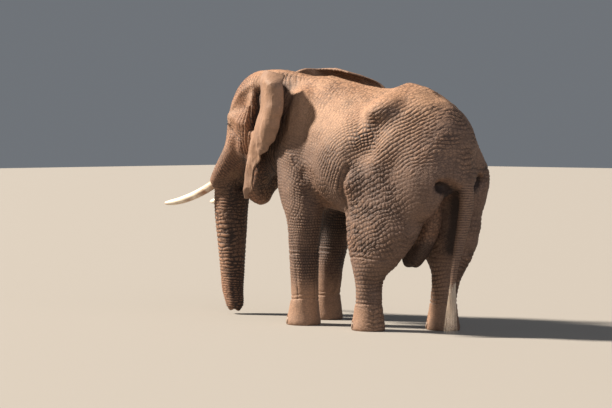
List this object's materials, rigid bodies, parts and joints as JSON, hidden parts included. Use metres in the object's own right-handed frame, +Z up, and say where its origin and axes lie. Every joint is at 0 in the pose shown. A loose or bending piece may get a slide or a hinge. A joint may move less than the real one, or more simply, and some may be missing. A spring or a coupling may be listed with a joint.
{
  "type": "african elephant model",
  "caption": "Life-size standing adult bull African savanna elephant, ears spread, trunk hanging, tusks forward, one step between the legs of each pair.",
  "frame": {"origin": "centre of the bounding box at floor level, under the soles", "axes": "-X towards the head and tusks, -Y towards the elephant's left side, +Z up"},
  "size_m": [5.2028, 1.773, 3.3378],
  "materials": {
    "hide": "dry, wrinkled, dusted with red-brown earth",
    "ivory": "satin, stained brown near the lip",
    "eye": "wet gloss",
    "horn": "worn, dusty"
  },
  "bodies": {
    "root": {"torso": "hide", "neck": "hide", "head": "hide", "jaw": "hide", "trunk_upper": "hide", "trunk_middle": "hide", "trunk_lower": "hide", "left_ear": "hide", "right_ear": "hide", "tail": "hide", "sheath": "hide", "left_upper_foreleg": "hide", "left_lower_foreleg": "hide", "left_forefoot": "hide", "right_upper_foreleg": "hide", "right_lower_foreleg": "hide", "right_forefoot": "hide", "left_thigh": "hide", "left_shank": "hide", "left_hind_foot": "hide", "right_thigh": "hide", "right_shank": "hide", "right_hind_foot": "hide", "left_tusk": "ivory", "right_tusk": "ivory", "left_eye": "eye", "right_eye": "eye", "left_fore_nail_1": "horn", "left_fore_nail_2": "horn", "left_fore_nail_3": "horn", "left_fore_nail_4": "horn", "right_fore_nail_1": "horn", "right_fore_nail_2": "horn", "right_fore_nail_3": "horn", "right_fore_nail_4": "horn", "left_hind_nail_1": "horn", "left_hind_nail_2": "horn", "left_hind_nail_3": "horn", "right_hind_nail_1": "horn", "right_hind_nail_2": "horn", "right_hind_nail_3": "horn"}
  },
  "joints": []
}
